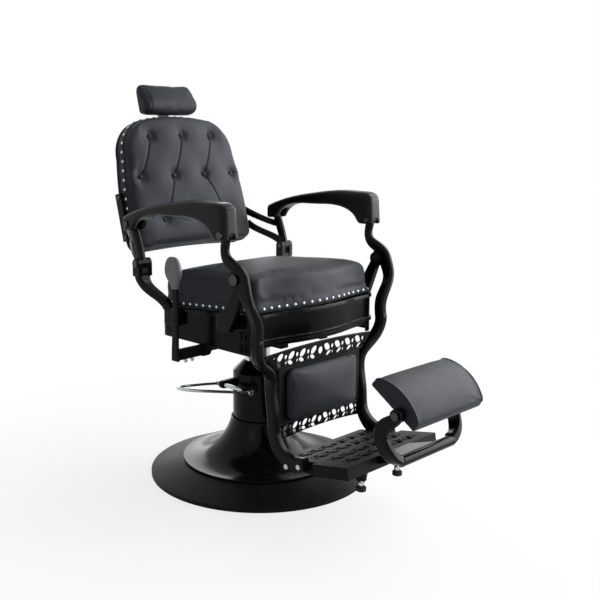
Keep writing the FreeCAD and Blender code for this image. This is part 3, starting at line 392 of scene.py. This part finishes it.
def only(piece):
    bpy.ops.object.select_all(action="DESELECT")
    piece.select_set(True)
    bpy.context.view_layer.objects.active = piece


def edit_all(operator, **settings):
    """Runs one edit-mode operator over the whole of the active piece."""
    bpy.ops.object.mode_set(mode="EDIT")
    bpy.ops.mesh.select_all(action="SELECT")
    operator(**settings)
    bpy.ops.object.mode_set(mode="OBJECT")


def copy_of(node, name):
    twin = bpy.data.objects.new(name, cad[node].data.copy())
    scene.collection.objects.link(twin)
    return twin


def soft_start(name, sources, voxel, smooth, finish):
    """A new closed mesh in the shape of the drawn forms, merged, joined and remeshed evenly."""
    bpy.ops.object.select_all(action="DESELECT")
    for source in sources:
        pad = copy_of(source, name)
        pad.select_set(True)
        bpy.context.view_layer.objects.active = pad
    bpy.ops.object.join()
    pad.name = name
    edit_all(bpy.ops.mesh.remove_doubles, threshold=weld_gap)
    pad.data.remesh_voxel_size = voxel
    bpy.ops.object.voxel_remesh()
    edit_all(bpy.ops.mesh.vertices_smooth, factor=0.5, repeat=smooth)
    pad.data.materials.clear()
    pad.data.materials.append(finish)
    return pad


def stuff(pad, sewn, shrink, cap, settle=0):
    """Draws the cover in and blows it up over its filling; sewn points stay, and the cap limits the rest."""
    move_points(pad, points(pad) - normals(pad) * np.where(sewn, 0, shrink)[:, None])
    steps = 20
    start = points(pad)
    only(pad)
    pad.vertex_groups.new(name="sewn").add(np.nonzero(sewn)[0].tolist(), 1.0, "REPLACE")
    cover = pad.modifiers.new("cover", "CLOTH")
    cover.settings.quality = 4
    cover.settings.tension_stiffness = 15
    cover.settings.compression_stiffness = 15
    cover.settings.bending_stiffness = 0.5
    cover.settings.use_pressure = True
    cover.settings.uniform_pressure_force = 3.0
    cover.settings.effector_weights.gravity = 0
    cover.settings.vertex_group_mass = "sewn"
    cover.collision_settings.use_collision = False
    cover.point_cache.frame_start = 1
    cover.point_cache.frame_end = steps
    for step in range(1, steps + 1):
        scene.frame_set(step)
    bpy.ops.object.modifier_apply(modifier="cover")
    scene.frame_set(1)
    moved = points(pad) - start
    length = np.linalg.norm(moved, axis=1, keepdims=True) + 1e-9
    move_points(pad, start + moved * (cap * np.tanh(length / cap) / length))
    pad.vertex_groups.clear()
    if settle:
        edit_all(bpy.ops.mesh.vertices_smooth, factor=0.5, repeat=settle)


def cover_finish(pad, body, sources):
    only(pad)
    fine = pad.modifiers.new("fine", "SUBSURF")
    fine.levels = 1
    fine.render_levels = 1
    bpy.ops.object.modifier_apply(modifier="fine")
    bpy.ops.object.shade_smooth()
    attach(pad, body)
    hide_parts(*sources)


def ease_in(value, zero, one):
    return np.clip((value - zero) / (one - zero), 0, 1)


def round_crown(pad, across, along, out):
    """Turns the flat planes of a drawn crown into one smooth dome of the same height."""
    crown_facing, side_facing = 0.9, 0.6
    rim, inside_rim = 0.97, 0.82
    below_crown = 0.004
    co = points(pad)
    height = co @ out
    facing = normals(pad) @ out
    top = (facing > crown_facing) & (height > height.min() + np.ptp(height) / 2)
    far = []
    for axis in (across, along):
        reach = co @ axis
        middle = (reach[top].max() + reach[top].min()) / 2
        far.append(np.abs(reach - middle) / (np.ptp(reach[top]) / 2))
    a, b = far
    dome = np.stack([a ** 0, np.sqrt(a ** 4 + b ** 4), a ** 2, b ** 2, a ** 4, b ** 4], axis=1)
    fit = np.linalg.lstsq(dome[top], height[top], rcond=None)[0]
    on_crown = (facing > side_facing) & (height > height[top].min() - below_crown)
    inner = ease_in(np.maximum(a, b), rim, inside_rim) * on_crown
    move_points(pad, co + np.outer(inner * (dome @ fit - height), out))


x_way = np.array((1.0, 0, 0))
seat_forms = ("seat_border", "seat_cushion")
seat_tilt = math.radians(4)
seat_up = np.array((0, math.sin(seat_tilt), math.cos(seat_tilt)))
nailed_height = 0.028
seat_pad = soft_start("seat_leather", seat_forms, voxel=0.006, smooth=4, finish=black_leather)
round_crown(seat_pad, x_way, np.cross(seat_up, x_way), seat_up)
above = points(seat_pad) @ seat_up
stuff(seat_pad, above < above.min() + nailed_height, shrink=0.003, cap=0.006, settle=4)
cover_finish(seat_pad, "seat", seat_forms)


# Recline lever: a steel shaft under the seat, with a cranked bar and a moulded paddle grip.
# Two set screws on the shaft adjust the lock.
# The grip and the knob are painted mid grey, a painted reflection of the bright surroundings on their black
# gloss.
moulded = enamel("moulded_black", low=(0.11, 0.112, 0.118), high=(0.15, 0.152, 0.16),
                 rough=(0.3, 0.42), peel=0.25, dust=0.15, wear_and_highlight=(0.13, 0.13, 0.13), ease=0.003,
                 Specular_IOR_Level=0.5)
dress(satin_enamel, "lever_shaft", "lever_bar")
dress(moulded, "lever_grip")
dress(machined_steel, "lever_screws")


# Back: a padded board in black leather with three rows of deep buttons and folded pleats between them.
# The leather is drawn in under each button, and nailed along the border.
slide = next(joint for joint in frame["joints"] if joint["name"] == "headrest_height")
up_back = np.array(Vector(slide["axis"]).normalized())
out_back = np.array((0, -up_back[2], up_back[1]))


def islands(name):
    """Middle of each loose solid of a drawn node."""
    only(copy_of(name, "count"))
    edit_all(bpy.ops.mesh.remove_doubles, threshold=weld_gap)
    edit_all(bpy.ops.mesh.separate, type="LOOSE")
    middles = []
    for bit in list(bpy.context.selected_objects):
        middles.append(points(bit).mean(axis=0))
        bpy.data.objects.remove(bit)
    return np.array(middles)


def near_button(x, h):
    return np.min([np.hypot(x - xb, h - hb) for xb, hb in zip(button_x, button_h)], axis=0)


def near_pleat(x, h):
    gaps = []
    for (xa, ha), (xb, hb) in pleats:
        dx, dh = xb - xa, hb - ha
        along = np.clip(((x - xa) * dx + (h - ha) * dh) / (dx * dx + dh * dh), 0, 1)
        gaps.append(np.hypot(x - xa - along * dx, h - ha - along * dh))
    return np.min(gaps, axis=0)


def hump(gap, width):
    return np.exp(-(gap / width) ** 2)


# Pleats run down to a button of the next row on one side, and out to the border from the outer buttons.
pleat_least, pleat_most = 0.03, 0.09
outer_button = 0.16
end_run, end_drop = 0.06, 0.006
buttons = islands("back_buttons")
button_x = buttons[:, 0]
button_h = buttons @ up_back
rows = sorted(set(np.round(button_h, 2)))
pleats = []
for xa, ha in zip(button_x, button_h):
    row = rows.index(round(ha, 2))
    side = -1 if row == 2 else math.copysign(1, xa)
    for xb, hb in zip(button_x, button_h):
        if row > 0 and round(hb, 2) == rows[row - 1] and pleat_least < side * (xb - xa) < pleat_most:
            pleats.append(((xa, ha), (xb, hb)))
    if abs(xa) > outer_button:
        pleats.append(((xa, ha), (xa + math.copysign(end_run, xa), ha - end_drop)))

back_forms = ("back_border", "back_cushion")
back_pad = soft_start("back_leather", back_forms, voxel=0.005, smooth=10, finish=black_leather)
co = points(back_pad)
across, height, depth = co[:, 0], co @ up_back, co @ out_back
facing = normals(back_pad) @ out_back
rear = depth.min()
to_button = near_button(across, height)

# The drawn dimples are filled to one smooth bulge first, and softer ones are pressed in their place.
plain_facing, plain_gap, plain_depth = 0.8, 0.042, 0.045
dimple_rim, dimple_floor = 0.046, 0.036
dimple_facing, dimple_depth = -0.3, 0.035
terms = [across ** 0, across ** 2, height, height ** 2, across ** 2 * height, across ** 4, height ** 3]
bulge = np.stack(terms, axis=1)
plain_front = (facing > plain_facing) & (to_button > plain_gap) & (depth > rear + plain_depth)
fit = np.linalg.lstsq(bulge[plain_front], depth[plain_front], rcond=None)[0]
in_dimple = (facing > dimple_facing) & (depth > rear + dimple_depth)
near = ease_in(to_button, dimple_rim, dimple_floor) * in_dimple
front = np.maximum(ease_in(facing, 0.2, 0.6), near)
button_pull = 0.012 * hump(to_button, width=0.013)
round_pull = 0.005 * hump(to_button, width=0.03)
pressed = near * (bulge @ fit - depth) - front * (button_pull + round_pull)
move_points(back_pad, co + np.outer(pressed, out_back))

nailed_depth = 0.03
under_button = 0.011
sewn = (depth < rear + nailed_depth) | (to_button < under_button)
stuff(back_pad, sewn, shrink=0.003, cap=0.008)
cover_finish(back_pad, "back", back_forms)
co = points(back_pad)
front = ease_in(normals(back_pad) @ out_back, 0.3, 0.6)
crease = 0.003 * hump(near_pleat(co[:, 0], co @ up_back), width=0.0036) * front
move_points(back_pad, co - crease[:, None] * out_back)
dress(black_leather, "back_board", "back_buttons")


# Back piping: a thin leather cord sewn round the rear edge of the back board.
# It follows the outline of the board's rear face, taken from the drawn board.
rear_turn = -0.98
rear_slack = 0.001
piping = copy_of("back_board", "back_piping")
only(piping)
edit_all(bpy.ops.mesh.remove_doubles, threshold=weld_gap)
bpy.ops.object.mode_set(mode="EDIT")
bpy.ops.mesh.select_all(action="DESELECT")
bpy.ops.mesh.select_mode(type="FACE")
bpy.ops.object.mode_set(mode="OBJECT")
faces = piping.data.polygons
lie = np.array([np.array(face.center) @ out_back for face in faces])
turn = np.array([np.array(face.normal) @ out_back for face in faces])
for face, rear_side in zip(faces, (turn < rear_turn) & (lie < lie.min() + rear_slack)):
    face.select = bool(rear_side)
bpy.ops.object.mode_set(mode="EDIT")
bpy.ops.mesh.region_to_loop()
bpy.ops.mesh.select_all(action="INVERT")
bpy.ops.mesh.delete(type="EDGE_FACE")
bpy.ops.mesh.select_all(action="SELECT")
bpy.ops.mesh.delete_loose(use_verts=True, use_edges=False, use_faces=False)
bpy.ops.object.mode_set(mode="OBJECT")
bpy.ops.object.convert(target="CURVE")
piping.data.bevel_depth = 0.0035
piping.data.bevel_resolution = 3
bpy.ops.object.convert(target="MESH")
piping = bpy.context.object
bpy.ops.object.shade_smooth()
piping.data.materials.clear()
piping.data.materials.append(black_leather)
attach(piping, "back")


# Back fittings: two cast brackets carry the back on its hinge pins, each held by dark steel screws.
# Bright nails run along the border, and the headrest's socket with its moulded knob sits on the rear.
dress(gloss_enamel, "back_bracket_left", "back_bracket_right")
dress(machined_steel, "back_nails")
dress(dark_steel, "bracket_screws")
dress(satin_enamel, "headrest_socket")
dress(moulded, "headrest_knob")


# Headrest: a leather roll on a flat steel bar that slides in the socket on the rear of the back.
# The leather is held where the bar enters the roll, and a seam runs round the roll near each end.
bar_front, bar_side = 0.003, 0.004
head_pad = soft_start("headrest_leather", ("headrest_pad",), voxel=0.004, smooth=9, finish=black_leather)
co = points(head_pad)
bar = points(cad["headrest_bar"])
at_bar = co @ out_back < (bar @ out_back).max() + bar_front
sewn = at_bar & (np.abs(co[:, 0]) < bar[:, 0].max() + bar_side)
stuff(head_pad, sewn, shrink=0.003, cap=0.006, settle=4)
cover_finish(head_pad, "headrest", ("headrest_pad",))
co = points(head_pad)
seam_from_end = 0.02
end_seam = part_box("headrest_pad")[1].x - seam_from_end
groove = 0.0016 * hump(np.abs(co[:, 0]) - end_seam, width=0.0018)
move_points(head_pad, co - normals(head_pad) * groove[:, None])
dress(machined_steel, "headrest_bar")


# Armrests: moulded arms with soft round edges, each on a dark steel pin at its rear and one at its front.
# The skin follows the drawn arm, with every edge eased by the moulding.
arm_black = enamel("arm_black", low=(0.003, 0.003, 0.0033), high=(0.007, 0.007, 0.0076),
                   rough=(0.24, 0.34), peel=0.1, dust=0.06, wear_and_highlight=(0.02, 0.02, 0.021), ease=0.004,
                   Specular_IOR_Level=0.13)
for side in ("left", "right"):
    skin = soft_start("arm_skin_" + side, ("armrest_" + side,), voxel=0.003, smooth=14, finish=arm_black)
    only(skin)
    bpy.ops.object.shade_smooth()
    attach(skin, "arm_" + side)
    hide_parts("armrest_" + side)
dress(dark_steel, "arm_pins_left", "arm_pins_right")


# Leg frame: two cast legs joined by pierced panels, with the foot plate bolted across their feet.
# All of it is black enamel but the bright bolts, the chromed stop studs and their rubber feet.
rubber = enamel("rubber", low=(0.012, 0.012, 0.012), high=(0.022, 0.022, 0.022),
                rough=(0.7, 0.85), peel=0.4, dust=0.3, wear_and_highlight=(0.03, 0.03, 0.03), ease=0.0015,
                Specular_IOR_Level=0.3)
dress(gloss_enamel, "leg_left", "leg_right", "upper_lace", "lower_lace", "yoke_bar", "yoke_prong_left",
      "yoke_prong_right")
dress(satin_enamel, "foot_plate", "calf_board")
dress(chrome, "stop_studs")
dress(machined_steel, "foot_bolts")
dress(rubber, "stop_feet")


# Calf pad: black leather over foam, closed behind by the calf board between the legs.
# The cover is held along the board and swells towards the front.
board_edge = 0.008
calf_pad = soft_start("calf_leather", ("calf_cushion",), voxel=0.004, smooth=4, finish=black_leather)
round_crown(calf_pad, x_way, np.array((0, 0, 1.0)), np.array((0, -1.0, 0)))
back_of_pad = points(calf_pad)[:, 1]
stuff(calf_pad, back_of_pad > back_of_pad.max() - board_edge, shrink=0.002, cap=0.004, settle=5)
cover_finish(calf_pad, "leg_frame", ("calf_cushion",))


# Flip pad: a leather foot cushion on a board that turns over on two dark steel bolts in the yoke.
# The cover is held round the board, and a welt stands along each end of the cushion.
pad_slope = math.radians(34.5)
pad_up = np.array((0, -math.sin(pad_slope), math.cos(pad_slope)))
held_height, welt_height = 0.022, 0.02
flip = soft_start("flip_leather", ("pad_board", "pad_cushion"), voxel=0.004, smooth=7, finish=black_leather)
level = points(flip) @ pad_up
stuff(flip, level < level.min() + held_height, shrink=0.002, cap=0.004, settle=2)
cover_finish(flip, "flip_pad", ("pad_board", "pad_cushion"))
co = points(flip)
facing = normals(flip)
welt_from_end = 0.007
end_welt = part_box("pad_cushion")[1].x - welt_from_end
off_end = ease_in(np.hypot(facing[:, 1], facing[:, 2]), 0.4, 0.7)
on_top = off_end * (co @ pad_up > level.min() + welt_height)
welt = 0.0032 * hump(np.abs(co[:, 0]) - end_welt, width=0.003) * on_top
move_points(flip, co + facing * welt[:, None])
dress(dark_steel, "pad_bolts")
